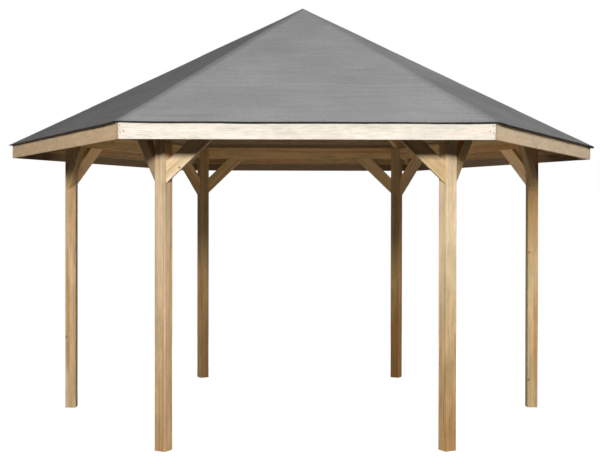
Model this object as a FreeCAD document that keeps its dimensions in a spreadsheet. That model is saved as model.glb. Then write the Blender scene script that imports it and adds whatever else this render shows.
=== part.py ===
import FreeCAD, Part
import Sketcher
import os

# Six-sided timber garden pavilion, in millimetres.
# Z is up, the floor is Z = 0 and the vertical axis of the six-sided plan is the origin.
# The posts stand at 0, 60, 120, 180, 240 and 300 degrees; the front bay faces -Y.

doc = FreeCAD.newDocument("Pavilion")

# Driving dimensions, each in its own named cell.
driving = [
    ("wall_radius", 2000, "from the middle of the plan to the middle of a post"),
    ("post_width", 90, "width of a square post"),
    ("post_height", 2368, "floor to the top of a post"),
    ("post_edge_radius", 4, "rounding of a post's long edges"),
    ("beam_depth", 108, "height of a ring beam"),
    ("beam_thickness", 50, "thickness of a ring beam"),
    ("beam_offset", 51.5, "outer face of a beam, out from the line of the post centres"),
    ("brace_width", 108, "width of a brace, square to its length"),
    ("brace_thickness", 50, "thickness of a brace"),
    ("brace_pitch", 44, "slope of a brace in degrees"),
    ("brace_drop", 383, "tip of a brace below the beam"),
    ("roof_pitch", 28.48, "slope of a roof face in degrees"),
    ("height_above_plate", 127.4, "post top to the rafter's top edge over the post"),
    ("rafter_depth", 120, "depth of a hip rafter, square to its length"),
    ("rafter_width", 45, "thickness of a hip rafter"),
    ("rafter_tail_lift", 8, "underside of a rafter's tail above the fascia's lower edge"),
    ("hub_flats", 150, "king block across its flats"),
    ("hub_drop", 32, "bottom of the king block below the rafters it carries"),
    ("hub_chamfer", 14, "chamfer round the bottom of the king block"),
    ("eave_overhang", 441, "line of the post centres to the outer face of a fascia"),
    ("board_thickness", 18, "roof boards"),
    ("batten_width", 45, "eave batten, across"),
    ("batten_depth", 45, "eave batten, down from the boards"),
    ("fascia_height", 122, "fascia board, outer face"),
    ("fascia_thickness", 20, "fascia board"),
    ("felt_thickness", 4, "roof felt"),
    ("felt_overhang", 29, "felt past the outer face of a fascia"),
    ("felt_drop", 6, "height of the felt's turned edge"),
    ("joint_gap", 0.3, "clearance where two timbers meet"),
]
sheet = doc.addObject("Spreadsheet::Sheet", "Sizes")
for row, (alias, value, note) in enumerate(driving, start=1):
    sheet.set("A%d" % row, note)
    sheet.set("B%d" % row, str(value))
    sheet.setAlias("B%d" % row, alias)
doc.recompute()

# Levels and distances that follow from the driving dimensions.
# "apothem" is the distance from the middle of the plan to a bay, square to it.
derived = [
    ("wall_apothem", "Sizes.wall_radius * cos(30)"),
    ("half_post", "Sizes.post_width / 2"),
    ("beam_bottom", "Sizes.post_height - Sizes.beam_depth"),
    ("beam_out", "Levels.wall_apothem + Sizes.beam_offset"),
    ("beam_in", "Levels.beam_out - Sizes.beam_thickness"),
    ("brace_in", "Levels.beam_out - Sizes.brace_thickness"),
    ("slope", "tan(Sizes.roof_pitch)"),
    ("hip_slope", "Levels.slope * cos(30)"),
    ("rafter_apex", "Sizes.post_height + Sizes.height_above_plate + Sizes.wall_radius * Levels.hip_slope"),
    ("rafter_plumb", "Sizes.rafter_depth * sqrt(1 + Levels.hip_slope ^ 2)"),
    ("gap_plumb", "Sizes.joint_gap / cos(Sizes.roof_pitch)"),
    ("board_under_apex", "Levels.rafter_apex + Levels.gap_plumb"),
    ("board_top_apex", "Levels.board_under_apex + Sizes.board_thickness / cos(Sizes.roof_pitch)"),
    ("felt_under_apex", "Levels.board_top_apex + Levels.gap_plumb"),
    ("felt_top_apex", "Levels.felt_under_apex + Sizes.felt_thickness / cos(Sizes.roof_pitch)"),
    ("fascia_out", "Levels.wall_apothem + Sizes.eave_overhang"),
    ("fascia_in", "Levels.fascia_out - Sizes.fascia_thickness"),
    ("fascia_top", "Levels.board_top_apex - Levels.slope * Levels.fascia_out"),
    ("fascia_bottom", "Levels.fascia_top - Sizes.fascia_height"),
    ("eave_end", "Levels.fascia_in - Sizes.joint_gap"),
    ("felt_out", "Levels.fascia_out + Sizes.felt_overhang"),
    ("felt_in", "Levels.felt_out - Sizes.felt_thickness"),
    ("felt_edge", "Levels.felt_top_apex - Levels.slope * Levels.felt_out"),
    ("hub_radius", "Sizes.hub_flats / 2 / cos(30)"),
    ("hub_top", "Levels.rafter_apex - Levels.slope * Levels.hub_radius"),
    ("rafter_head", "Sizes.hub_flats / 2 + Sizes.joint_gap"),
    ("hub_bottom", "Levels.rafter_apex - Levels.hip_slope * Levels.rafter_head - Levels.rafter_plumb - Sizes.hub_drop"),
]
levels = doc.addObject("App::VarSet", "Levels")
for name, formula in derived:
    levels.addProperty("App::PropertyFloat", name)
    levels.setExpression(name, formula)
    doc.recompute()

pieces = []

# Two places on a piece count as level with each other within this distance.
levelWithin = 0.01


def originPlane(body, role):
    # The body's own origin plane with this role.
    return next(plane for plane in body.Origin.OriginFeatures if plane.Role == role)


def outline(body, name, role, corners):
    # A closed polygon; each corner is a pair of formulas measured from the origin.
    sketch = body.newObject("Sketcher::SketchObject", name)
    sketch.AttachmentSupport = (originPlane(body, role), "")
    sketch.MapMode = "FlatFace"
    values = [FreeCAD.Vector(sketch.evalExpression(x), sketch.evalExpression(y), 0) for x, y in corners]
    count = len(corners)
    for i in range(count):
        sketch.addGeometry(Part.LineSegment(values[i], values[(i + 1) % count]))
    for i in range(count):
        sketch.addConstraint(Sketcher.Constraint("Coincident", i, 2, (i + 1) % count, 1))
    for i, (x, y) in enumerate(corners):
        for kind, formula, axis, value in (("DistanceX", x, -2, values[i].x), ("DistanceY", y, -1, values[i].y)):
            if formula == "0":
                sketch.addConstraint(Sketcher.Constraint("PointOnObject", i, 1, axis))
                continue
            added = sketch.addConstraint(Sketcher.Constraint(kind, -1, 1, i, 1, value))
            sketch.setExpression("Constraints[%d]" % added, formula)
    return sketch


def newBody(name):
    return doc.addObject("PartDesign::Body", name)


def pad(body, sketch, length, both=False):
    # Extrudes the sketch, to both sides of its plane if asked.
    feature = body.newObject("PartDesign::Pad", sketch.Name + "Pad")
    feature.Profile = sketch
    feature.setExpression("Length", length)
    feature.Midplane = both
    return feature


def place(piece, angle, radius="0", height="0"):
    # Turns a piece about the vertical axis and sets it out from the middle.
    piece.setExpression("Placement.Base.x", "(%s) * cos(%d)" % (radius, angle))
    piece.setExpression("Placement.Base.y", "(%s) * sin(%d)" % (radius, angle))
    piece.setExpression("Placement.Base.z", height)
    piece.Placement.Rotation = FreeCAD.Rotation(FreeCAD.Vector(0, 0, 1), angle)


def keep(piece, label):
    piece.Label = label
    pieces.append(piece)
    return piece


def edgeNames(shape, wanted):
    # The names of a shape's edges that the test picks.
    return ["Edge%d" % i for i, edge in enumerate(shape.Edges, start=1) if wanted(edge)]


def bearingLine(apothem):
    # The plan line where a beam or brace bears on the side of a post, as its distance
    # from the middle of the bay at a given distance from the middle of the plan.
    lean = "(%s - Levels.wall_apothem) * sin(30)" % apothem
    return "Sizes.wall_radius / 2 - (Levels.half_post + Sizes.joint_gap - %s) / cos(30)" % lean


def boardPlane(apex, apothem):
    # Height of a roof plane at a distance from the middle of the plan.
    return "Levels.%s - Levels.slope * %s" % (apex, apothem)


def post(name, angle):
    body = newBody(name)
    half = "Levels.half_post"
    square = [("-" + half, "-" + half), (half, "-" + half), (half, half), ("-" + half, half)]
    shaft = pad(body, outline(body, name + "Section", "XY_Plane", square), "Sizes.post_height")
    doc.recompute()
    upright = edgeNames(shaft.Shape, lambda edge: edge.BoundBox.ZLength > levelWithin)
    arris = body.newObject("PartDesign::Fillet", name + "Arris")
    arris.Base = (shaft, upright)
    arris.setExpression("Radius", "Sizes.post_edge_radius")
    place(body, angle, radius="Sizes.wall_radius")
    return keep(body, name)


def ringBeam(name, angle):
    # A beam between two posts, its ends bevelled to bear on their side faces.
    body = newBody(name)
    inside = bearingLine("Levels.beam_in")
    outside = bearingLine("Levels.beam_out")
    plan = [
        ("Levels.beam_in", "-(%s)" % inside),
        ("Levels.beam_out", "-(%s)" % outside),
        ("Levels.beam_out", outside),
        ("Levels.beam_in", inside),
    ]
    pad(body, outline(body, name + "Plan", "XY_Plane", plan), "Sizes.beam_depth")
    place(body, angle, height="Levels.beam_bottom")
    return keep(body, name)


def brace(name, angle, hand):
    # A raking brace from the side of a post up to the underside of the beam.
    # hand is + for the post on the right of the bay, seen from outside, and - for the left.
    body = newBody(name)
    tip = "(Levels.half_post + Sizes.joint_gap - Sizes.beam_offset * sin(30)) / cos(30)"
    tipHeight = "Levels.beam_bottom - Sizes.joint_gap - Sizes.brace_drop"
    rake = "tan(Sizes.brace_pitch)"
    top = "Levels.beam_bottom - Sizes.joint_gap"
    toe = "%s + Sizes.brace_drop / %s" % (tip, rake)
    heel = "%s - Sizes.brace_width / sin(Sizes.brace_pitch)" % toe
    footHeight = "%s - %s * %s" % (tipHeight, tip, rake)
    profile = [
        ("0", footHeight),
        (toe, top),
        (heel, top),
        ("0", "%s + Sizes.brace_width / cos(Sizes.brace_pitch)" % footHeight),
    ]
    sign = 1 if hand == "+" else -1
    corners = []
    for inwards, height in profile:
        corners.append(("%d * (Sizes.wall_radius / 2 - (%s))" % (sign, inwards), height))
    side = outline(body, name + "Side", "YZ_Plane", corners)
    side.setExpression("AttachmentOffset.Base.z", "Levels.brace_in")
    pad(body, side, "Sizes.brace_thickness")
    doc.recompute()
    whole = body.Shape.Volume
    innerFace = "Levels.brace_in - Sizes.post_edge_radius"
    outerFace = "Levels.beam_out + Sizes.post_edge_radius"
    cut = [
        (innerFace, "%d * (%s)" % (sign, bearingLine("(%s)" % innerFace))),
        (outerFace, "%d * (%s)" % (sign, bearingLine("(%s)" % outerFace))),
        (outerFace, "%d * (Sizes.wall_radius / 2 + Levels.half_post)" % sign),
        (innerFace, "%d * (Sizes.wall_radius / 2 + Levels.half_post)" % sign),
    ]
    bevel = body.newObject("PartDesign::Pocket", name + "Bevel")
    bevel.Profile = outline(body, name + "Bearing", "XY_Plane", cut)
    bevel.Type = "ThroughAll"
    bevel.Midplane = True
    doc.recompute()
    assert body.Shape.Volume < whole, name + " kept its square end"
    place(body, angle)
    return keep(body, name)


def hexagonLoft(name, apothem, bottom, edge, apex):
    # A six-sided block: upright sides from bottom to edge and a pyramid from edge to apex.
    sections = []
    for suffix, height in (("Low", bottom), ("Edge", edge)):
        ring = doc.addObject("Part::RegularPolygon", name + suffix)
        ring.Polygon = 6
        ring.setExpression("Circumradius", "(%s) / cos(30)" % apothem)
        ring.setExpression("Placement.Base.z", height)
        sections.append(ring)
    peak = doc.addObject("Part::Vertex", name + "Peak")
    peak.setExpression("Z", apex)
    block = doc.addObject("Part::Loft", name)
    block.Sections = sections + [peak]
    block.Solid = True
    block.Ruled = True
    return block


def hipRafter(name, angle, under):
    # A rafter from the king block over a post to the corner of the eaves. It has plumb
    # ends, a birdsmouth over the post and a level cut at the tail; the roof's own
    # underside backs its top edge and points its tail between the two fascias.
    body = newBody(name + "Blank")
    seat = "Sizes.post_height + Sizes.joint_gap"
    tailHeight = "Levels.fascia_bottom + Sizes.rafter_tail_lift"
    tail = "Levels.eave_end / cos(30)"
    heel = "Sizes.wall_radius + Levels.half_post + Sizes.joint_gap"
    lower = "Levels.rafter_apex - Levels.rafter_plumb"
    profile = [
        ("Levels.rafter_head", "Levels.rafter_apex - Levels.hip_slope * Levels.rafter_head"),
        (tail, "Levels.rafter_apex - Levels.hip_slope * (%s)" % tail),
        (tail, tailHeight),
        ("(%s - (%s)) / Levels.hip_slope" % (lower, tailHeight), tailHeight),
        (heel, "%s - Levels.hip_slope * (%s)" % (lower, heel)),
        (heel, seat),
        ("(%s - (%s)) / Levels.hip_slope" % (lower, seat), seat),
        ("Levels.rafter_head", "%s - Levels.hip_slope * Levels.rafter_head" % lower),
    ]
    pad(body, outline(body, name + "Side", "XZ_Plane", profile), "Sizes.rafter_width", both=True)
    rafter = doc.addObject("Part::Common", name)
    rafter.Base = body
    rafter.Tool = under
    place(rafter, angle)
    return keep(rafter, name)


def baySector(name, setBack):
    # A sixth of the plan between two hips, its sides set back from them.
    body = newBody(name)
    reach = "Levels.felt_out"
    start = "(%s) / sin(30)" % setBack
    width = "(%s - %s) * tan(30)" % (reach, start)
    plan = [(start, "0"), (reach, "-(%s)" % width), (reach, width)]
    pad(body, outline(body, name + "Plan", "XY_Plane", plan), "Levels.felt_top_apex")
    return body


def mitred(name, section, sector):
    # A section across the eaves run along the bay and mitred at the two hips.
    body = newBody(name + "Length")
    pad(body, outline(body, name + "Section", "XZ_Plane", section), "2 * Levels.felt_out", both=True)
    piece = doc.addObject("Part::Common", name)
    piece.Base = body
    piece.Tool = sector
    return piece


def fascia(name, angle, sector):
    # Its top edge is bevelled to the slope of the roof boards.
    section = [
        ("Levels.fascia_in", "Levels.fascia_bottom"),
        ("Levels.fascia_out", "Levels.fascia_bottom"),
        ("Levels.fascia_out", "Levels.fascia_top"),
        ("Levels.fascia_in", boardPlane("board_top_apex", "Levels.fascia_in")),
    ]
    piece = mitred(name, section, sector)
    place(piece, angle)
    return keep(piece, name)


def roofPanel(name, angle, sector, battenSector):
    # One face of the roof: boarding with the batten that stiffens its lower edge.
    start = "Sizes.joint_gap"
    boards = mitred(name + "Boards", [
        (start, boardPlane("board_under_apex", start)),
        (start, boardPlane("board_top_apex", start)),
        ("Levels.eave_end", boardPlane("board_top_apex", "Levels.eave_end")),
        ("Levels.eave_end", boardPlane("board_under_apex", "Levels.eave_end")),
    ], sector)
    back = "(Levels.eave_end - Sizes.batten_width)"
    batten = mitred(name + "Batten", [
        (back, boardPlane("board_under_apex", back)),
        (back, boardPlane("board_under_apex", back) + " - Sizes.batten_depth"),
        ("Levels.eave_end", boardPlane("board_under_apex", "Levels.eave_end") + " - Sizes.batten_depth"),
        ("Levels.eave_end", boardPlane("board_under_apex", "Levels.eave_end")),
    ], battenSector)
    panel = doc.addObject("Part::Fuse", name)
    panel.Base = boards
    panel.Tool = batten
    panel.Refine = True
    place(panel, angle)
    return keep(panel, name)


def kingBlock(name):
    # The six-sided block at the peak that the rafters' heads are fixed to, a flat to each.
    body = newBody(name)
    corners = []
    for angle in range(30, 390, 60):
        corners.append(("Levels.hub_radius * cos(%d)" % angle, "Levels.hub_radius * sin(%d)" % angle))
    block = pad(body, outline(body, name + "Plan", "XY_Plane", corners), "Levels.hub_top - Levels.hub_bottom")
    doc.recompute()
    lowEdges = edgeNames(block.Shape, lambda edge: edge.BoundBox.ZMax < levelWithin)
    chamfer = body.newObject("PartDesign::Chamfer", name + "Chamfer")
    chamfer.Base = (block, lowEdges)
    chamfer.setExpression("Size", "Sizes.hub_chamfer")
    body.setExpression("Placement.Base.z", "Levels.hub_bottom")
    return keep(body, name)


def feltCovering(name):
    # The felt over the whole roof, its edge turned down a little, clear of the fascias.
    low = "Levels.felt_edge - Sizes.felt_drop"
    outer = hexagonLoft(name + "Outer", "Levels.felt_out", low, "Levels.felt_edge", "Levels.felt_top_apex")
    inner = hexagonLoft(name + "Inner", "Levels.felt_in", low + " - Sizes.felt_thickness",
                        boardPlane("felt_under_apex", "Levels.felt_in"), "Levels.felt_under_apex")
    felt = doc.addObject("Part::Cut", name)
    felt.Base = outer
    felt.Tool = inner
    return keep(felt, name)


corners = {"right": 0, "back_right": 60, "back_left": 120, "left": 180, "front_left": 240, "front_right": 300}
bays = {"back_right": 30, "back": 90, "back_left": 150, "front_left": 210, "front": 270, "front_right": 330}

underRoof = hexagonLoft("UnderRoof", "Levels.eave_end", "0", boardPlane("rafter_apex", "Levels.eave_end"),
                        "Levels.rafter_apex")
hipSector = baySector("HipSector", "Sizes.joint_gap / 2")
rafterSector = baySector("RafterSector", "Sizes.rafter_width / 2 + Sizes.joint_gap")

for corner, angle in corners.items():
    post("post_" + corner, angle)
    hipRafter("hip_rafter_" + corner, angle, underRoof)

for bay, angle in bays.items():
    ringBeam("ring_beam_" + bay, angle)
    brace("brace_%s_bay_right" % bay, angle, "+")
    brace("brace_%s_bay_left" % bay, angle, "-")
    fascia("fascia_" + bay, angle, hipSector)
    roofPanel("roof_panel_" + bay, angle, hipSector, rafterSector)

kingBlock("king_block")
feltCovering("roof_felt")

doc.recompute()

for item in doc.Objects:
    for state in item.State:
        assert state not in ("Invalid", "Error"), "%s is %s" % (item.Name, state)
for piece in pieces:
    assert not piece.Shape.isNull() and piece.Shape.isValid(), piece.Label + " has no valid shape"
    assert len(piece.Shape.Solids) == 1, piece.Label + " is not one solid"

os.makedirs("parts", exist_ok=True)
for piece in pieces:
    piece.Shape.exportStep(os.path.join("parts", piece.Label + ".step"))
    box = piece.Shape.BoundBox
    print("%-28s %8.0f cm3  z %7.1f to %7.1f" % (piece.Label, piece.Shape.Volume / 1000, box.ZMin, box.ZMax))
print(len(pieces), "pieces")
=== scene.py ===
import math
import random

import bmesh
import bpy
from mathutils import Matrix, Vector, noise


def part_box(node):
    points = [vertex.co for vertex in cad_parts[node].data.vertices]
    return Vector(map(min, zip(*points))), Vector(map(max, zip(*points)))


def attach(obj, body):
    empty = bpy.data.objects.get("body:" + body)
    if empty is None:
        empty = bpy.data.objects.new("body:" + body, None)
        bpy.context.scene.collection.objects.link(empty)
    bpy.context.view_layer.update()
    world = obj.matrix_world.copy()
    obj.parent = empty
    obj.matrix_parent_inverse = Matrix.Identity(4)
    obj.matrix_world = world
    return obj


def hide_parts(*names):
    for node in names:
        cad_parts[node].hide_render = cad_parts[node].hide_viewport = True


# Six-sided timber garden pavilion: the looks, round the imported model. Metres, Z up, front bay towards -Y.
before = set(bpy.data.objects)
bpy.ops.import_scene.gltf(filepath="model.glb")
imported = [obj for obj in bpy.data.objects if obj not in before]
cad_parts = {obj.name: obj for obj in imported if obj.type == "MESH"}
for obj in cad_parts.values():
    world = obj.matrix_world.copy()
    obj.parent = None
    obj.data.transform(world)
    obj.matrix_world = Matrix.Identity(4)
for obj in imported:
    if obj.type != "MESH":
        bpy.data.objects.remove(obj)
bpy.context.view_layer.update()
print("frame loaded,", len(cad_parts), "nodes")

# angles of the corners and of the bays in the plan, in degrees
corners = {
    "right": 0,
    "back_right": 60,
    "back_left": 120,
    "left": 180,
    "front_left": 240,
    "front_right": 300,
}
bays = {
    "back_right": 30,
    "back": 90,
    "back_left": 150,
    "front_left": 210,
    "front": 270,
    "front_right": 330,
}
upwards = Vector((0, 0, 1))
sixth = math.radians(60)


def outwards(degrees):
    # level direction at this angle of the plan
    return Vector((math.cos(math.radians(degrees)), math.sin(math.radians(degrees)), 0))


def sidewards(degrees):
    # level direction along the bay at this angle
    return Vector((-math.sin(math.radians(degrees)), math.cos(math.radians(degrees)), 0))


def rgb(red, green, blue):
    # a screen colour, 0 to 255, as the linear colour that a shader takes
    linear = []
    for part in (red / 255, green / 255, blue / 255):
        linear.append(part / 12.92 if part <= 0.04045 else ((part + 0.055) / 1.055) ** 2.4)
    return (*linear, 1.0)


class Value:
    # a number socket in a shader; sums on it add Math nodes
    def __init__(self, shader, socket):
        self.shader = shader
        self.socket = socket

    def math(self, operation, first, second=0.0):
        return self.shader.add("ShaderNodeMath", {"operation": operation}, {0: first, 1: second})

    def __add__(self, other):
        return self.math("ADD", self, other)

    def __radd__(self, other):
        return self.math("ADD", other, self)

    def __sub__(self, other):
        return self.math("SUBTRACT", self, other)

    def __rsub__(self, other):
        return self.math("SUBTRACT", other, self)

    def __mul__(self, other):
        return self.math("MULTIPLY", self, other)

    def __rmul__(self, other):
        return self.math("MULTIPLY", other, self)

    def __truediv__(self, other):
        return self.math("DIVIDE", self, other)

    def __rtruediv__(self, other):
        return self.math("DIVIDE", other, self)

    def __gt__(self, other):
        return self.math("GREATER_THAN", self, other)

    def __abs__(self):
        return self.math("ABSOLUTE", self)

    def root(self):
        return self.math("SQRT", self)

    def fraction(self):
        return self.math("FRACT", self)

    def orMore(self, other):
        return self.math("MAXIMUM", self, other)

    def orLess(self, other):
        return self.math("MINIMUM", self, other)


class Shader:
    # the nodes of one material, or of the world
    def __init__(self, owner):
        self.owner = owner
        owner.use_nodes = True
        self.tree = owner.node_tree
        self.tree.nodes.clear()

    def add(self, kind, settings=None, inputs=None, outputs=(0,)):
        node = self.tree.nodes.new(kind)
        for key, setting in (settings or {}).items():
            setattr(node, key, setting)
        for key, given in (inputs or {}).items():
            if isinstance(given, Value):
                self.tree.links.new(given.socket, node.inputs[key])
            else:
                node.inputs[key].default_value = given
        found = [Value(self, node.outputs[key]) for key in outputs]
        return found[0] if len(found) == 1 else found

    def attribute(self, name):
        return self.add("ShaderNodeAttribute", {"attribute_name": name}, outputs=("Vector",))

    def split(self, vector):
        return self.add("ShaderNodeSeparateXYZ", None, {0: vector}, (0, 1, 2))

    def splitColour(self, colour):
        return self.add("ShaderNodeSeparateColor", None, {0: colour}, (0, 1, 2))

    def join(self, x, y, z):
        return self.add("ShaderNodeCombineXYZ", None, {0: x, 1: y, 2: z})

    def noise(self, vector, scale=1.0, detail=2.0, roughness=0.5):
        given = {"Vector": vector, "Scale": scale, "Detail": detail, "Roughness": roughness}
        return self.add("ShaderNodeTexNoise", None, given)

    def cells(self, vector, scale, dimensions="3D"):
        # distance to the nearest of scattered points, and a random colour for each
        settings = {"voronoi_dimensions": dimensions}
        return self.add("ShaderNodeTexVoronoi", settings, {"Vector": vector, "Scale": scale}, (0, 1))

    def between(self, value, low, high):
        # 0 below low, 1 above high, smooth in between
        given = {"Value": value, "From Min": low, "From Max": high}
        return self.add("ShaderNodeMapRange", {"interpolation_type": "SMOOTHSTEP"}, given)

    def mix(self, factor, first, second, kind="MIX"):
        settings = {"data_type": "RGBA", "blend_type": kind}
        return self.add("ShaderNodeMix", settings, {0: factor, 6: first, 7: second}, (2,))

    def bump(self, height):
        # height in metres
        return self.add("ShaderNodeBump", None, {"Strength": 1.0, "Distance": 1.0, "Height": height})

    def surface(self, **inputs):
        named = {key.replace("_", " "): given for key, given in inputs.items()}
        return self.add("ShaderNodeBsdfPrincipled", None, named)

    def seen(self):
        # 1 for what the camera sees, straight or in a reflection, and 0 for the light that is thrown back
        rays = ("Is Camera Ray", "Is Glossy Ray", "Is Transmission Ray")
        camera, glossy, through = self.add("ShaderNodeLightPath", outputs=rays)
        return camera.orMore(glossy).orMore(through)

    def finish(self, surface, kind="ShaderNodeOutputMaterial"):
        self.add(kind, None, {"Surface": surface}, ())
        return self.owner


postLook = {
    "early": rgb(228, 205, 171),
    "late": rgb(198, 162, 118),
    "streak": rgb(200, 150, 100),
    "cool": rgb(208, 189, 146),
    "blush": rgb(236, 206, 178),
    "knot": rgb(120, 82, 50),
    "warmTint": (0.98, 0.86, 0.62, 1.0),
    "darkeningTint": (0.63, 0.52, 0.37, 1.0),
    "ringWidth": 0.0045,
    "ringContrast": 0.4,
    "streaks": 0.75,
    "knotsPerMetre": 2.6,
    "knotSize": 0.011,
    "checks": 1.0,
    "mottle": 0.7,
    "fleck": 0.5,
    "endReach": 0.02,
    "endDirtAndShade": 0.0,
}
frameLook = {
    "early": rgb(234, 210, 172),
    "late": rgb(200, 160, 112),
    "streak": rgb(204, 154, 102),
    "cool": rgb(214, 194, 148),
    "blush": rgb(238, 204, 172),
    "knot": rgb(116, 78, 46),
    "warmTint": (0.98, 0.84, 0.60, 1.0),
    "darkeningTint": (1.0, 1.0, 1.0, 1.0),
    "ringWidth": 0.0042,
    "ringContrast": 0.5,
    "streaks": 0.75,
    "knotsPerMetre": 3.0,
    "knotSize": 0.010,
    "checks": 0.8,
    "mottle": 0.7,
    "fleck": 0.5,
    "endReach": 0.03,
    "endDirtAndShade": 0.35,
}
fasciaLook = {
    "early": rgb(252, 245, 232),
    "late": rgb(238, 221, 196),
    "streak": rgb(248, 234, 214),
    "cool": rgb(246, 240, 222),
    "blush": rgb(252, 238, 224),
    "knot": rgb(168, 132, 88),
    "warmTint": (0.90, 0.70, 0.48, 1.0),
    "darkeningTint": (1.0, 1.0, 1.0, 1.0),
    "ringWidth": 0.006,
    "ringContrast": 0.6,
    "streaks": 0.5,
    "knotsPerMetre": 2.2,
    "knotSize": 0.009,
    "checks": 0.4,
    "mottle": 0.5,
    "fleck": 0.6,
    "endReach": 0.012,
    "endDirtAndShade": 0.75,
}
boardLook = {
    "early": rgb(188, 156, 114),
    "late": rgb(150, 114, 74),
    "streak": rgb(166, 126, 82),
    "cool": rgb(166, 146, 100),
    "blush": rgb(184, 146, 108),
    "knot": rgb(92, 62, 36),
    "warmTint": (0.92, 0.86, 0.76, 1.0),
    "darkeningTint": (1.0, 1.0, 1.0, 1.0),
    "ringWidth": 0.005,
    "ringContrast": 0.5,
    "streaks": 0.6,
    "knotsPerMetre": 3.4,
    "knotSize": 0.010,
    "checks": 0.3,
    "mottle": 0.8,
    "fleck": 1.2,
    "endReach": 0.03,
    "endDirtAndShade": 0.2,
}


def timberMaterial(name, look):
    # Softwood. grainPos runs along the grain on X, with the heart of the tree at Y = Z = 0.
    shader = Shader(bpy.data.materials.new(name))
    along, across, through = shader.split(shader.attribute("grainPos"))
    lightness, warmth, endGrain = shader.split(shader.attribute("timberToneAndLight"))
    height, fromStart, fromEnd = shader.split(shader.attribute("timberPlace"))
    footDarkening, topShade = shader.split(shader.attribute("timberDarkening"))[:2]

    # knots stand on scattered points of each face
    perMetre = look["knotsPerMetre"]
    plane = shader.join(along, across + through, 0.0)
    distance, cellColour = shader.cells(plane, perMetre, "2D")
    distance = distance / perMetre
    pick, chance, third = shader.splitColour(cellColour)
    size = look["knotSize"] * (0.3 + 0.7 * pick)
    present = (chance > 0.35) * (1 - endGrain)
    reach = distance / size
    knot = (1 - shader.between(reach, 0.7, 1.1)) * present
    rim = (1 - shader.between(abs(reach - 1.0), 0.0, 0.45)) * present
    swirl = 0.011 * present / (1 + (distance / 0.022) * (distance / 0.022))

    # growth rings, wavering along the trunk and bent round the knots
    slow = shader.join(along * 0.8, across * 4, through * 4)
    waverAcross = 0.024 * (shader.noise(slow, 1.0, 1.0) - 0.5)
    waverThrough = 0.024 * (shader.noise(slow, 1.7, 1.0) - 0.5)
    fromHeart = across + waverAcross
    aside = through + waverThrough
    radius = (fromHeart * fromHeart + aside * aside).root() + swirl
    ring = (radius / look["ringWidth"] + third * 0.2).fraction()
    late = shader.between(ring, 0.3, 0.85) * (1 - shader.between(ring, 0.92, 1.0))

    # broad streaks of heartwood and of treated sapwood, and the fibre
    streakNoise = shader.noise(shader.join(along * 0.55, across * 30, through * 30), 1.0, 2.0)
    streak = shader.between(streakNoise, 0.46, 0.62)
    coolNoise = shader.noise(shader.join(along * 0.5 + 9.0, across * 21, through * 21), 1.0, 1.0)
    cool = shader.between(coolNoise, 0.46, 0.60)
    blushNoise = shader.noise(shader.join(along * 0.7 + 4.0, across * 17, through * 17), 1.0, 1.0)
    blush = shader.between(blushNoise, 0.48, 0.62)
    fibre = shader.noise(shader.join(along * 7, across * 620, through * 620), 1.0, 3.0)
    cloud = shader.noise(shader.join(along * 4, across * 18, through * 18), 1.0, 4.0, 0.6)
    fleck = shader.noise(shader.join(along * 12, across * 80, through * 80), 1.0, 3.0, 0.7)

    # drying checks: hairlines along the grain, here and there
    lineNoise = shader.noise(shader.join(along * 0.8, across * 52, through * 52), 1.0, 1.0)
    line = 1 - shader.between(abs(lineNoise - 0.5), 0.002, 0.022)
    patchNoise = shader.noise(shader.join(along * 0.9 + 3.0, across * 6, through * 6), 1.0, 1.0)
    check = line * shader.between(patchNoise, 0.58, 0.68) * (look["checks"] * (1 - endGrain))

    colour = shader.mix(late * look["ringContrast"], look["early"], look["late"])
    colour = shader.mix(streak * look["streaks"], colour, look["streak"])
    colour = shader.mix(blush * 0.45, colour, look["blush"])
    colour = shader.mix(cool * 0.6, colour, look["cool"])
    shade = (0.93 + 0.14 * fibre) * (1 + look["mottle"] * (cloud - 0.5))
    shade = shade * (1 + look["fleck"] * (fleck - 0.5))
    # lightness holds each timber's own random tone and the painted light and shade set for it and its faces
    shade = shade * (1 + 0.09 * lightness) * (1 - 0.22 * endGrain) * (1 - 0.5 * check)
    colour = shader.mix(1.0, colour, shade, "MULTIPLY")
    colour = shader.mix(0.5 + 0.5 * warmth, colour, shader.mix(1.0, colour, look["warmTint"], "MULTIPLY"))
    # darker towards the foot, which on the back posts is painted shade, and painted shade at the top of a
    # post under the eaves
    foot = footDarkening * (1 - shader.between(height + 0.5 * (cloud - 0.5), 0.1, 1.7))
    top = topShade * shader.between(height + 0.3 * (cloud - 0.5), 1.0, 1.8)
    colour = shader.mix(foot + top, colour, shader.mix(1.0, colour, look["darkeningTint"], "MULTIPLY"))
    # darker near a timber's ends: grime, and painted shade at the joints between parts
    nearEnd = fromStart.orLess(fromEnd) + 0.02 * (cloud - 0.5)
    dirtAndJointShade = (1 - shader.between(nearEnd, 0.0, look["endReach"])) * look["endDirtAndShade"]
    colour = shader.mix(dirtAndJointShade, colour, shader.mix(1.0, colour, look["knot"], "MULTIPLY"))
    colour = shader.mix(rim * 0.45, colour, look["knot"])
    colour = shader.mix(knot * 0.8, colour, look["knot"])

    relief = 0.00016 * fibre + 0.00012 * late - 0.0009 * check - 0.0002 * rim
    surface = shader.surface(
        Base_Color=colour,
        Roughness=0.62 + 0.16 * fibre - 0.12 * knot,
        Specular_IOR_Level=0.25,
        Normal=shader.bump(relief),
    )
    return shader.finish(surface)


feltLook = {
    "pale": rgb(205, 205, 204),
    "dark": rgb(136, 136, 136),
    "bitumen": rgb(26, 25, 24),
    "granulesPerMetre": 620,
    "mottlePerMetre": 2.3,
    "specklePerMetre": 130.0,
    "streakAcross": 1.6,
    "streakUp": 110,
}


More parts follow.
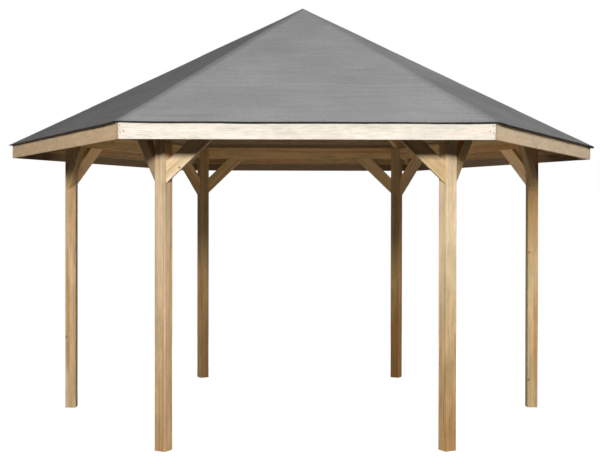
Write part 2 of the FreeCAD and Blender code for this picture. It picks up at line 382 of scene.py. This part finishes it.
def feltMaterial(name):
    # Mineral felt: crushed slate pressed into bitumen, which shows black on the cut edge.
    shader = Shader(bpy.data.materials.new(name))
    place = shader.add("ShaderNodeTexCoord", outputs=("Object",))
    x, y, z = shader.split(place)
    black, faceLight = shader.split(shader.attribute("feltBitumenAndLight"))[:2]
    distance, cellColour = shader.cells(place, feltLook["granulesPerMetre"])
    grain, grainHeight = shader.splitColour(cellColour)[:2]
    mottle = shader.noise(place, feltLook["mottlePerMetre"], 5.0, 0.62)
    across = feltLook["streakAcross"]
    streak = shader.noise(shader.join(x * across, y * across, z * feltLook["streakUp"]), 1.0, 3.0, 0.6)
    speckle = shader.noise(place, feltLook["specklePerMetre"], 3.0, 0.7)
    level = 0.5 + 0.4 * (grain - 0.5) + 0.4 * (mottle - 0.5) + 0.45 * (streak - 0.5) + 0.9 * (speckle - 0.5)
    colour = shader.mix(shader.between(level, 0.0, 1.0), feltLook["dark"], feltLook["pale"])
    # painted light and shade of the felt's faces
    colour = shader.mix(1.0, colour, faceLight, "MULTIPLY")
    colour = shader.mix(black, colour, feltLook["bitumen"])
    height = (0.0005 * grainHeight - 0.0003 * distance) * (1 - black) + 0.0004 * streak
    surface = shader.surface(
        Base_Color=colour,
        Roughness=0.95 - 0.3 * black,
        Specular_IOR_Level=0.12,
        Normal=shader.bump(height),
    )
    return shader.finish(surface)


steelLook = {
    "bright": rgb(160, 142, 104),
    "dull": rgb(112, 96, 74),
    "patchesPerMetre": 260.0,
}


def steelMaterial(name):
    # Yellow-passivated screws, dulled in patches.
    shader = Shader(bpy.data.materials.new(name))
    place = shader.add("ShaderNodeTexCoord", outputs=("Object",))
    dull = shader.between(shader.noise(place, steelLook["patchesPerMetre"], 3.0), 0.35, 0.7)
    colour = shader.mix(dull, steelLook["bright"], steelLook["dull"])
    surface = shader.surface(Base_Color=colour, Metallic=0.85, Roughness=0.38 + 0.3 * dull)
    return shader.finish(surface)


postTimber = timberMaterial("postTimber", postLook)
frameTimber = timberMaterial("frameTimber", frameLook)
fasciaTimber = timberMaterial("fasciaTimber", fasciaLook)
boardTimber = timberMaterial("boardTimber", boardLook)
roofFelt = feltMaterial("roofFelt")
screwSteel = steelMaterial("screwSteel")
print("materials made")


def setVectors(mesh, name, domain, vectors):
    attribute = mesh.attributes.new(name, "FLOAT_VECTOR", domain)
    attribute.data.foreach_set("vector", [part for vector in vectors for part in vector])


def weighNormals(piece):
    # flat faces stay flat and the soft edges between them turn smoothly
    for polygon in piece.data.polygons:
        polygon.use_smooth = True
    modifier = piece.modifiers.new("evenNormals", "WEIGHTED_NORMAL")
    modifier.keep_sharp = True


def keepPiece(piece, material, nodes=()):
    piece.data.materials.clear()
    piece.data.materials.append(material)
    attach(piece, "root")
    if nodes:
        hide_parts(*nodes)
    return piece


def newPiece(name, mesh, place=None):
    piece = bpy.data.objects.new(name, mesh)
    bpy.context.scene.collection.objects.link(piece)
    if place:
        piece.matrix_world = place
    return piece


timberEdges = {"softened": 0.0022, "sharpestKept": 28, "heartNear": 0.05, "heartFar": 0.13}


def grainShift(chance):
    # which stretch of which tree a timber was sawn from
    distance = chance.uniform(timberEdges["heartNear"], timberEdges["heartFar"])
    turn = chance.uniform(0, 2 * math.pi)
    return Vector((chance.uniform(0, 60), distance * math.cos(turn), distance * math.sin(turn)))


# lightness and warmth of single timbers, where the lightness is painted light and shade: raised for a
# timber that light falls on, lowered for one in shade
toneAndPaintedLight = {
    "post_front_left": (0.9, -0.6),
    "post_front_right": (2.9, -1.0),
    "post_left": (-2.6, -0.2),
    "post_right": (-3.4, -0.1),
    "post_back_left": (-1.5, 0.9),
    "post_back_right": (-1.8, 1.0),
    "ring_beam_back": (-1.8, 0.9),
    "ring_beam_back_left": (-1.5, 0.9),
    "ring_beam_back_right": (-1.2, 0.8),
    "brace_front_left_bay_left": (1.0, 1.0),
    "brace_back_left_bay_right": (7.5, 0.3),
    "brace_front_right_bay_right": (-0.5, 1.0),
    "brace_back_right_bay_left": (6.5, 0.3),
    "brace_front_bay_left": (3.8, -1.0),
    "brace_front_bay_right": (1.0, 0.0),
    "brace_back_bay_left": (-1.5, 1.0),
    "brace_back_bay_right": (-1.5, 1.0),
    "brace_back_left_bay_left": (-1.0, 0.8),
    "brace_back_right_bay_right": (-1.0, 0.8),
    "fascia_front": (0.0, -1.0),
    "fascia_front_left": (1.0, 0.9),
    "fascia_front_right": (0.8, 0.5),
    "fascia_back": (-1.0, 1.0),
    "fascia_back_left": (-0.5, 0.9),
    "fascia_back_right": (-0.4, 0.8),
}
# how much darker each post is towards its foot (painted shade on the back posts) and at its top under the
# eaves (painted shade), and how much paler its faces towards the front are, below 0 where darker (painted
# shade)
postDarkening = {
    "front_left": (0.5, 0.0, 0.0),
    "front_right": (1.0, 0.0, 0.0),
    "left": (0.2, 0.4, 0.0),
    "right": (0.2, 0.9, 0.0),
    "back_left": (0.6, 0.0, -4.0),
    "back_right": (1.2, 0.0, -4.6),
}
# how much paler a post is on the faces that look along the bays, as painted light, and a fascia on its
# inner face, below 0 where it is darker, as painted shade under the roof
postSideLight = 3.0
fasciaInsideShade = -6.3
# how far a fascia's top is cut down to clear the felt
fasciaTopCut = 0.004


def dressTimber(node, along, up, material, darkening=(0, 0, 0), sideLight=0.0, insideShade=0.0, topCut=0.0):
    # A copy of a CAD timber in axes of its own, X with the grain, its edges softened.
    low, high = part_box(node)
    along = along.normalized()
    across = up.cross(along).normalized()
    axes = Matrix((along, across, along.cross(across))).transposed()
    place = Matrix.Translation((low + high) / 2) @ axes.to_4x4()
    shape = bmesh.new()
    shape.from_mesh(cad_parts[node].data)
    bmesh.ops.transform(shape, matrix=place.inverted(), verts=shape.verts)
    bmesh.ops.remove_doubles(shape, verts=shape.verts, dist=0.00002)
    for vertex in shape.verts:
        if vertex.co.z > 0:
            vertex.co.z -= topCut
    bmesh.ops.dissolve_limit(shape, angle_limit=math.radians(1), verts=shape.verts, edges=shape.edges)
    limit = math.radians(timberEdges["sharpestKept"])
    sharp = [edge for edge in shape.edges if edge.is_manifold and edge.calc_face_angle() > limit]
    bmesh.ops.bevel(shape, geom=sharp, offset=timberEdges["softened"], segments=2, profile=0.6,
                    affect="EDGES", clamp_overlap=True)
    mesh = bpy.data.meshes.new(node + "_timber")
    shape.to_mesh(mesh)
    shape.free()

    chance = random.Random(node)
    shift = grainShift(chance)
    setVectors(mesh, "grainPos", "POINT", [vertex.co + shift for vertex in mesh.vertices])
    drawn = (chance.uniform(-1, 1), chance.uniform(-1, 1))
    lightness, warmth = toneAndPaintedLight.get(node, drawn)
    ends = [vertex.co.x for vertex in mesh.vertices]
    start, end = min(ends), max(ends)
    heights = [(place @ vertex.co).z for vertex in mesh.vertices]
    places = [(height, x - start, end - x) for height, x in zip(heights, ends)]
    setVectors(mesh, "timberPlace", "POINT", places)
    setVectors(mesh, "timberDarkening", "POINT", [darkening] * len(mesh.vertices))
    tones = []
    for polygon in mesh.polygons:
        sawnAcross = min(max((abs(polygon.normal.x) - 0.3) / 0.3, 0), 1)
        toFront = max(-(axes @ polygon.normal).y, 0)
        # painted light on a post's faces along the bays, painted shade on a fascia's inner face and on the
        # front faces of the back posts
        lifted = lightness + sideLight * abs(polygon.normal.y) + insideShade * max(polygon.normal.y, 0)
        lifted += darkening[2] * toFront
        tones += [(lifted, warmth, sawnAcross)] * polygon.loop_total
    setVectors(mesh, "timberToneAndLight", "CORNER", tones)
    piece = newPiece(node + "_timber", mesh, place)
    weighNormals(piece)
    return keepPiece(piece, material, [node])


roof = {
    "pitch": math.radians(28.48),
    "boardTones": 3.2,
    # painted light: how much paler the boards of some bays are, below 0 where darker
    "paler": {"back_left": 1.5, "back_right": 1.5, "back": -0.5},
    "boardThickness": 0.018,
    "boardCover": 0.0955,
    "boardDepth": 0.0120,
    "vee": 0.0050,
    "joint": 0.0006,
    "fromPeak": 0.012,
    "shortestHalf": 0.0005,
    "battenSize": 0.045,
    "battenEdge": 0.002,
    # the batten's lightness, raised as painted light, and its warmth
    "battenPaintedLight": (4.5, 0.2),
    "battenUnderBoards": 0.0005,
    "battenFromRafter": 0.0003,
    "mitreGap": 0.0006,
}
slope = math.tan(roof["pitch"])
hipSlope = slope * math.cos(sixth / 2)
bracePitch = math.radians(44)

for corner, angle in corners.items():
    darkening = postDarkening[corner]
    dressTimber("post_" + corner, upwards, outwards(angle), postTimber, darkening, postSideLight)
    downHip = outwards(angle) - upwards * hipSlope
    dressTimber("hip_rafter_" + corner, downHip, upwards, frameTimber)

for bay, angle in bays.items():
    dressTimber("ring_beam_" + bay, sidewards(angle), upwards, frameTimber)
    for hand, side in (("right", -1), ("left", 1)):
        rake = sidewards(angle) * (side * math.cos(bracePitch)) + upwards * math.sin(bracePitch)
        dressTimber("brace_%s_bay_%s" % (bay, hand), rake, outwards(angle), postTimber)
    dressTimber("fascia_" + bay, sidewards(angle), upwards, fasciaTimber,
                insideShade=fasciaInsideShade, topCut=fasciaTopCut)

dressTimber("king_block", upwards, outwards(0), frameTimber)
print("timbers dressed")


class Gathered:
    # vertices, faces and shader values of a mesh that is made of many small ones
    def __init__(self):
        self.points = []
        self.faces = []
        self.grain = []
        self.places = []
        self.tones = []

    def build(self, name):
        mesh = bpy.data.meshes.new(name)
        mesh.from_pydata(self.points, [], self.faces)
        if self.grain:
            setVectors(mesh, "grainPos", "POINT", self.grain)
            setVectors(mesh, "timberPlace", "POINT", self.places)
            setVectors(mesh, "timberToneAndLight", "CORNER", self.tones)
        mesh.validate()
        mesh.update()
        return mesh


def addRun(gathered, section, halfLength, angle, shift, tone):
    # A length of timber along a bay. section is (distance out, height) pairs, anticlockwise
    # seen from its right end; halfLength gives the mitre at each distance out.
    start = len(gathered.points)
    count = len(section)
    out = outwards(angle)
    side = sidewards(angle)
    for hand in (-1, 1):
        for distance, height in section:
            length = halfLength(distance)
            reach = hand * length
            gathered.points.append(out * distance + side * reach + upwards * height)
            gathered.places.append((height, length + reach, length - reach))
            gathered.grain.append(Vector((reach, distance - section[0][0], height - section[0][1])) + shift)
    for i in range(count):
        after = (i + 1) % count
        gathered.faces.append((start + i, start + after, start + count + after, start + count + i))
        gathered.tones += [(tone[0], tone[1], 0)] * 4
    gathered.faces.append(tuple(start + i for i in reversed(range(count))))
    gathered.faces.append(tuple(start + count + i for i in range(count)))
    gathered.tones += [(tone[0], tone[1], 1)] * (2 * count)


def boardedPanel(bay, angle):
    # Tongued boards laid level, joints veed on the underside, with the batten behind the fascia.
    node = "roof_panel_" + bay
    cos, sin = math.cos(roof["pitch"]), math.sin(roof["pitch"])
    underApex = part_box(node)[1].z - roof["boardThickness"] / cos
    eaveEnd = -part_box("roof_panel_front")[0].y
    chance = random.Random(node)
    gathered = Gathered()

    def at(down, depth):
        # a point at this distance down the slope and this height square to it
        return (down * cos + depth * sin, underApex - down * sin + depth * cos)

    def toHip(distance):
        return max(distance, 0) * math.tan(sixth / 2) - roof["mitreGap"]

    def wholeLength(distance):
        return max(toHip(distance), roof["shortestHalf"])

    slopeLength = eaveEnd / cos
    count = math.ceil(slopeLength / roof["boardCover"])
    vee, gap, deep = roof["vee"], roof["joint"], roof["boardDepth"]
    for i in range(count):
        lower = slopeLength - i * roof["boardCover"] - gap
        upper = max(lower - roof["boardCover"] + gap, roof["fromPeak"])
        if i == 0:
            lower -= roof["boardThickness"] * slope
        if lower - upper < 3 * vee:
            continue
        section = [
            at(upper + vee, 0), at(lower - vee, 0), at(lower, vee),
            at(lower, deep), at(upper, deep), at(upper, vee),
        ]
        lightness = roof["paler"].get(bay, 0) + chance.uniform(-1, 1) * roof["boardTones"]
        tone = (lightness, chance.uniform(-1, 1))
        addRun(gathered, section, wholeLength, angle, grainShift(chance), tone)

    size = roof["battenSize"]
    edge = roof["battenEdge"]
    under = roof["battenUnderBoards"]
    back = eaveEnd - size
    top = underApex - slope * back - under
    bottom = underApex - slope * back - size
    frontTop = underApex - slope * eaveEnd - under
    frontBottom = bottom - slope * size
    section = [
        (back + edge, bottom), (eaveEnd - edge, frontBottom), (eaveEnd, frontBottom + edge),
        (eaveEnd, frontTop), (back, top), (back, bottom + edge),
    ]
    rafterSide = (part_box("hip_rafter_right")[1].y + roof["battenFromRafter"]) / math.cos(sixth / 2)
    addRun(gathered, section, lambda distance: toHip(distance) - rafterSide, angle, grainShift(chance),
           roof["battenPaintedLight"])
    piece = newPiece("boards_" + bay, gathered.build("boards_" + bay))
    return keepPiece(piece, boardTimber, [node])


for bay, angle in bays.items():
    boardedPanel(bay, angle)
print("roof boarded")


felt = {
    "thickness": 0.004,
    "keptIn": 0.001,
    "sideSteps": 72,
    "arcSteps": 10,
    "sideCrowding": 0.13,
    "rows": 64,
    "rowCrowding": 0.92,
    "laps": (0.78, 1.60),
    "lapStep": 0.0012,
    "lapRun": 0.006,
    "wave": 0.0022,
    "peakDrop": 0.0015,
    "hipWander": 0.009,
    "hipReach": 0.16,
    "cornerReach": 0.11,
    "edgeWave": 0.0022,
    "edgeLift": 0.0015,
    "edgeMargin": 0.008,
    "lowerSkinDrop": 0.001,
    "lowerSkinRows": (1.7, 1.4, 1.1, 0.8, 0.5, 0.3, 0.18, 0.1, 0.03),
    "toneBlend": 0.030,
}
# how wide the felt's bend over each hip is at the eaves and halfway up, how much lower its corner
# hangs past the fascia, below 0 where it stands up, and how far its cut edge turns down there
feltCorners = {
    "right": {"fold": 0.015, "halfwayFold": 0.07, "droop": 0.0, "turnedDown": 0.012},
    "back_right": {"fold": 0.04, "halfwayFold": 0.07, "droop": 0.003, "turnedDown": 0.003},
    "back_left": {"fold": 0.03, "halfwayFold": 0.07, "droop": 0.003, "turnedDown": 0.003},
    "left": {"fold": 0.004, "halfwayFold": 0.11, "droop": -0.001, "turnedDown": 0.0},
    "front_left": {"fold": 0.03, "halfwayFold": 0.05, "droop": -0.004, "turnedDown": 0.0},
    "front_right": {"fold": 0.06, "halfwayFold": 0.05, "droop": -0.004, "turnedDown": 0.0},
}
# painted light and shade on each face of the felt, paler on the faces that catch more light
facePaintedLight = {
    "front": 1.0,
    "front_left": 0.56,
    "front_right": 0.73,
    "back_right": 0.8,
    "back": 0.9,
    "back_left": 0.8,
}
# how much paler a face is painted in its upper part, as painted light, and where that ends
upperPaintedLight = {"front_right": 0.26}
upperPart = (1.1, 1.6)


def ramp(value, low, high):
    share = min(max((value - low) / (high - low), 0), 1)
    return share * share * (3 - 2 * share)


def feltCovering():
    # The felt as it lies: strips lapped down the slope, soft over the hips, its edge turned down and wavy.
    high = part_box("roof_felt")[1]
    apex = high.z
    out = high.y - felt["keptIn"]
    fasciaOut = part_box("fascia_back")[1].y
    cornerNames = list(corners)
    cornerEnds = []
    for bay, angle in bays.items():
        right = next(name for name, turn in corners.items() if turn == (angle - 30) % 360)
        left = next(name for name, turn in corners.items() if turn == (angle + 30) % 360)
        cornerEnds.append((bay, angle, right, left))

    def outlinePoint(bay, angle, right, left, position, distance):
        # position runs from 0 to 1 along the straight side and from 1 to 2 round the next hip
        halfSide = distance * math.tan(sixth / 2)
        foldRight = fold(right, distance)
        foldLeft = fold(left, distance)
        start = -halfSide + foldRight * math.tan(sixth / 2)
        end = halfSide - foldLeft * math.tan(sixth / 2)
        if position <= 1:
            along = start + (end - start) * position
            point = outwards(angle) * distance + sidewards(angle) * along
            near = max(1 - (halfSide - along) / felt["hipReach"], 0) * wander(left, distance)
            near += max(1 - (along + halfSide) / felt["hipReach"], 0) * wander(right, distance)
            return point + sidewards(angle) * near
        turn = angle + 60 * (position - 1)
        centre = outwards(angle + 30) * ((distance - foldLeft) / math.cos(sixth / 2))
        return centre + outwards(turn) * foldLeft + sidewards(angle + 30) * wander(left, distance)

    def fold(corner, distance):
        # the radius of the felt's bend over a hip, from halfway up to the eaves
        soft = feltCorners[corner]["halfwayFold"] * (1 - ramp(distance, 0.5 * out, out))
        return min(soft + feltCorners[corner]["fold"] * ramp(distance, 0.5 * out, out), 0.7 * distance)

    def wander(corner, distance):
        # a hip isn't folded quite straight
        place = Vector((distance * 2.6, cornerNames.index(corner) * 7.3, 0.4))
        fine = Vector((distance * 9.0, cornerNames.index(corner) * 3.1, 5.4))
        bend = noise.noise(place) + 0.35 * noise.noise(fine)
        return felt["hipWander"] * bend * ramp(distance, 0.05, 0.4)

    def cornerShare(position):
        # 1 on a hip, fading to 0 along the sides
        if position > 1:
            return 1.0
        return max(1 - min(position, 1 - position) / felt["cornerReach"], 0) ** 2

    def surfaceHeight(point, distance):
        # the slope, its laps and the way the felt lies on the boards
        height = apex - slope * distance
        for lap in felt["laps"]:
            height -= felt["lapStep"] * ramp(distance, lap, lap + felt["lapRun"])
        height += felt["lapStep"] * len(felt["laps"]) * ramp(distance, 0.0, out)
        lie = noise.noise(point * 2.1) + 0.5 * noise.noise(point * 5.3 + Vector((3, 1, 7)))
        height += felt["wave"] * lie * ramp(distance, 0.03, 0.3)
        return height - felt["peakDrop"] * (1 - ramp(distance, 0.7 * out, out))

    # distances out of the rows of points, closer together at the laps and over the fascia
    shares = [((i + 1) / felt["rows"]) ** felt["rowCrowding"] for i in range(felt["rows"])]
    distances = [share * (out - felt["edgeMargin"]) for share in shares]
    for lap in felt["laps"]:
        distances += [lap - 0.012, lap - 0.001, lap + 0.0015, lap + 0.004, lap + 0.016]
    distances += [fasciaOut - 0.03, fasciaOut - 0.01, fasciaOut + 0.006, fasciaOut + 0.014]
    distances = sorted(set(round(distance, 5) for distance in distances))

    # places round the outline, closer together near the hips
    steps = [i / felt["sideSteps"] for i in range(felt["sideSteps"])]
    positions = [step - felt["sideCrowding"] * math.sin(2 * math.pi * step) for step in steps]
    positions += [1 + i / felt["arcSteps"] for i in range(felt["arcSteps"])]
    perRow = len(positions) * len(cornerEnds)
    points = [Vector((0, 0, apex - felt["peakDrop"]))]
    tones = [(0, 1, 0)]
    faces = []

    def paintedLightAt(bay, distance):
        return facePaintedLight[bay] * (1 + upperPaintedLight.get(bay, 0) * (1 - ramp(distance, *upperPart)))

    def addRow(distance, black, heightFor):
        for place, (bay, angle, right, left) in enumerate(cornerEnds):
            following = paintedLightAt(cornerEnds[(place + 1) % 6][0], distance)
            preceding = paintedLightAt(cornerEnds[place - 1][0], distance)
            for position in positions:
                point = outlinePoint(bay, angle, right, left, position, distance)
                turned = feltCorners[left] if position > 0.5 else feltCorners[right]
                point.z = heightFor(point, distance, cornerShare(position), turned)
                tone = paintedLightAt(bay, distance)
                nearHip = 0.5 * ramp(abs(position - 0.5), 0.5 - felt["toneBlend"] / distance, 0.5)
                if position > 1:
                    tone += (following - tone) * 0.5
                elif position > 0.5:
                    tone += (following - tone) * nearHip
                else:
                    tone += (preceding - tone) * nearHip
                tones.append((black, tone, 0))
                points.append(point)

    def topSkin(point, distance, share, turned):
        # past the fascia the felt lifts a little, and its corners hang or stand up
        past = max(distance - fasciaOut, 0) / (out - fasciaOut)
        hang = past * past * (share * turned["droop"] - felt["edgeLift"])
        return surfaceHeight(point, distance) - hang

    for distance in distances:
        addRow(distance, 0, topSkin)

    def edgeWave(point):
        return felt["edgeWave"] * (noise.noise(point * 3.4) + 0.4 * noise.noise(point * 11.0))

    # over the cut edge and back in underneath: distance in from the end, black, drop, share of the wave
    cutEdge = [
        (0.0024, 0.0, 0.0000, 0.0),
        (0.0006, 0.9, 0.0004, 0.1),
        (0.0002, 1.0, 0.0012, 0.2),
        (0.0002, 1.0, 0.0040, 1.0),
        (0.0010, 1.0, 0.0048, 1.0),
        (0.0040, 1.0, 0.0048, 1.0),
        (0.0080, 1.0, 0.0044, 0.6),
    ]
    for inwards, black, drop, free in cutEdge:
        def cutSkin(point, distance, share, turned):
            lowered = drop + free * (share * turned["turnedDown"] + edgeWave(point))
            return topSkin(point, distance, share, turned) - lowered
        addRow(out - inwards, black, cutSkin)

    under = felt["thickness"] / math.cos(roof["pitch"]) + felt["lowerSkinDrop"]

    def lowerSkin(point, distance, share, turned):
        return surfaceHeight(point, distance) - under

    for distance in (fasciaOut + 0.012, fasciaOut - 0.02, *felt["lowerSkinRows"]):
        addRow(distance, 1, lowerSkin)
    points.append(Vector((0, 0, apex - felt["peakDrop"] - under)))
    tones.append((1, 1, 0))

    rowCount = (len(points) - 2) // perRow
    for j in range(perRow):
        after = (j + 1) % perRow
        faces.append((0, 1 + j, 1 + after))
        for i in range(rowCount - 1):
            upper = 1 + i * perRow
            faces.append((upper + j, upper + perRow + j, upper + perRow + after, upper + after))
        last = 1 + (rowCount - 1) * perRow
        faces.append((last + j, len(points) - 1, last + after))
    mesh = bpy.data.meshes.new("felt_covering")
    mesh.from_pydata(points, [], faces)
    setVectors(mesh, "feltBitumenAndLight", "POINT", tones)
    mesh.polygons.foreach_set("use_smooth", [True] * len(mesh.polygons))
    mesh.validate()
    mesh.update()
    piece = newPiece("felt_covering", mesh)
    return keepPiece(piece, roofFelt, ["roof_felt"])


feltCovering()
print("felt laid")


screw = {
    "head": 0.0046,
    "sunk": 0.0012,
    "proud": 0.0002,
    "recess": 0.0019,
    "recessDepth": 0.0018,
    "lobes": 6,
    "steps": 24,
    "fromEnd": 0.06,
    "fasciaSpots": [(0.017, 0.70), (0.019, 0.34), (0.040, 0.40)],
    "strayAlong": 0.003,
    "strayUp": 0.004,
}


def addScrew(gathered, centre, facing):
    # A countersunk head with a six-lobed recess, its axis along facing.
    side = facing.cross(upwards).normalized()
    up = side.cross(facing)
    start = len(gathered.points)
    steps = screw["steps"]
    rings = [
        (screw["head"], -screw["sunk"], 0),
        (screw["head"], screw["proud"] * 0.4, 0),
        (screw["head"] * 0.93, screw["proud"], 0),
        (screw["recess"] * 1.12, screw["proud"] * 0.8, 0.12),
        (screw["recess"], screw["proud"] * 0.4, 0.14),
        (screw["recess"] * 0.9, -screw["recessDepth"], 0.14),
    ]
    for radius, depth, lobed in rings:
        for i in range(steps):
            turn = 2 * math.pi * i / steps
            reach = radius * (1 + lobed * math.cos(screw["lobes"] * turn))
            offset = side * (reach * math.cos(turn)) + up * (reach * math.sin(turn))
            gathered.points.append(centre + offset + facing * depth)
    for ring in range(len(rings) - 1):
        for i in range(steps):
            after = (i + 1) % steps
            lower = start + ring * steps
            gathered.faces.append((lower + i, lower + after, lower + steps + after, lower + steps + i))
    last = start + (len(rings) - 1) * steps
    gathered.faces.append(tuple(last + i for i in range(steps)))
    gathered.faces.append(tuple(start + i for i in reversed(range(steps))))


def fasciaScrews():
    # Three at each end of a fascia, into the rafter's tail.
    low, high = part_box("fascia_front")
    halfLength = high.x
    chance = random.Random("fascia screws")
    gathered = Gathered()
    for angle in bays.values():
        for hand in (-1, 1):
            for inset, share in screw["fasciaSpots"]:
                stray = chance.uniform(-screw["strayAlong"], screw["strayAlong"])
                along = hand * (halfLength - inset - stray)
                stray = chance.uniform(-screw["strayUp"], screw["strayUp"])
                height = low.z + (high.z - low.z) * share + stray
                centre = outwards(angle) * -low.y + sidewards(angle) * along + upwards * height
                addScrew(gathered, centre, outwards(angle))
    piece = newPiece("fascia_screws", gathered.build("fascia_screws"))
    return keepPiece(piece, screwSteel)


def braceScrews():
    # One near each end of a brace, driven up through its lower edge.
    low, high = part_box("brace_front_bay_right")
    run = math.cos(bracePitch)
    rise = math.sin(bracePitch)
    length = (high.z - low.z) / rise
    gathered = Gathered()
    for angle in bays.values():
        for hand in (-1, 1):
            facing = sidewards(angle) * (-hand * rise) - upwards * run
            for down in (screw["fromEnd"], length - screw["fromEnd"]):
                along = hand * (high.x - down * run)
                middle = outwards(angle) * -(low.y + high.y) / 2
                centre = middle + sidewards(angle) * along + upwards * (low.z + down * rise)
                addScrew(gathered, centre, facing)
    piece = newPiece("brace_screws", gathered.build("brace_screws"))
    return keepPiece(piece, screwSteel)


fasciaScrews()
braceScrews()
print("screws driven")


white = (1.0, 1.0, 1.0, 1.0)
studio = {
    "floorRadius": 60.0,
    "floorUnderFeet": 0.0005,
    "shadowFades": (3.0, 7.0),
    "floorPaper": (0.6, 0.6, 0.6, 1.0),
    "floorGlow": 0.8,
    "floorBounce": rgb(66, 64, 60),
    "ambient": 0.018,
}
# place, aim, width and height, power
lamps = {
    "keyLamp": ((-1.6, -20.6, 6.5), (0.0, -1.2, 1.9), (6.8, 2.2), 3450.0),
    "rightLamp": ((9.5, -5.5, 8.0), (0.0, 0.0, 2.4), (4.0, 4.0), 300.0),
    "backLamp": ((-0.5, 11.5, 7.0), (0.0, 0.0, 1.8), (6.0, 4.0), 1100.0),
    "eaveLamp": ((0.1, -0.6, 1.65), (0.1, 1.8, 2.1), (2.0, 0.5), 11.0),
}


def floorDisc():
    # A pale floor that takes the pavilion's shadow and runs out to white.
    shape = bmesh.new()
    bmesh.ops.create_circle(shape, cap_ends=True, radius=studio["floorRadius"], segments=96)
    mesh = bpy.data.meshes.new("floor")
    shape.to_mesh(mesh)
    shape.free()
    floor = newPiece("floor", mesh)
    floor.location.z = -studio["floorUnderFeet"]
    shader = Shader(bpy.data.materials.new("floorPaper"))
    x, y = shader.split(shader.add("ShaderNodeTexCoord", outputs=("Object",)))[:2]
    nearEnd, farStart = studio["shadowFades"]
    away = shader.between((x * x + y * y).root(), nearEnd, farStart)
    paper = shader.surface(Base_Color=studio["floorPaper"], Roughness=0.9, Specular_IOR_Level=0.0)
    glow = shader.add("ShaderNodeEmission", None, {"Color": white, "Strength": studio["floorGlow"]})
    near = shader.add("ShaderNodeAddShader", None, {0: paper, 1: glow})
    far = shader.add("ShaderNodeEmission", None, {"Color": white, "Strength": 1.0})
    lit = shader.add("ShaderNodeMixShader", None, {0: away, 1: near, 2: far})
    bounce = shader.surface(Base_Color=studio["floorBounce"], Roughness=0.9, Specular_IOR_Level=0.0)
    whole = shader.add("ShaderNodeMixShader", None, {0: shader.seen(), 1: bounce, 2: lit})
    floor.data.materials.append(shader.finish(whole))


def softbox(name, place, aim, size, power):
    lamp = bpy.data.lights.new(name, "AREA")
    lamp.shape = "RECTANGLE"
    lamp.size = size[0]
    lamp.size_y = size[1]
    lamp.energy = power
    box = bpy.data.objects.new(name, lamp)
    bpy.context.scene.collection.objects.link(box)
    box.location = place
    box.rotation_mode = "QUATERNION"
    box.rotation_quaternion = (Vector(aim) - Vector(place)).to_track_quat("-Z", "Y")
    box.visible_camera = False
    box.visible_glossy = False


def whiteWorld():
    shader = Shader(bpy.data.worlds.new("studio"))
    soft = shader.add("ShaderNodeBackground", None, {"Color": white, "Strength": studio["ambient"]})
    plain = shader.add("ShaderNodeBackground", None, {"Color": white, "Strength": 1.0})
    both = shader.add("ShaderNodeMixShader", None, {0: shader.seen(), 1: soft, 2: plain})
    bpy.context.scene.world = shader.finish(both, "ShaderNodeOutputWorld")


# metres, radians, and millimetres for the lens
view = {
    "place": (-0.1322, -9.1156, 1.6169),
    "yaw": -0.0123,
    "pitch": -0.0078,
    "roll": 0.0018,
    "lens": 62.95,
}


def photoCamera():
    camera = bpy.data.cameras.new("camera")
    camera.lens = view["lens"]
    camera.sensor_width = 36.0
    camera.sensor_fit = "HORIZONTAL"
    camera.clip_end = 200.0
    stand = bpy.data.objects.new("camera", camera)
    bpy.context.scene.collection.objects.link(stand)
    yaw, pitch, roll = view["yaw"], view["pitch"], view["roll"]
    ahead = Vector((-math.sin(yaw) * math.cos(pitch), math.cos(yaw) * math.cos(pitch), math.sin(pitch)))
    right = Vector((math.cos(yaw), math.sin(yaw), 0))
    up = right.cross(ahead)
    rolledRight = right * math.cos(roll) + up * math.sin(roll)
    rolledUp = up * math.cos(roll) - right * math.sin(roll)
    axes = Matrix((rolledRight, rolledUp, -ahead)).transposed()
    stand.matrix_world = Matrix.Translation(view["place"]) @ axes.to_4x4()
    bpy.context.scene.camera = stand


floorDisc()
for name, settings in lamps.items():
    softbox(name, *settings)
whiteWorld()
photoCamera()
bpy.context.scene.view_settings.view_transform = "Standard"
print("studio set")
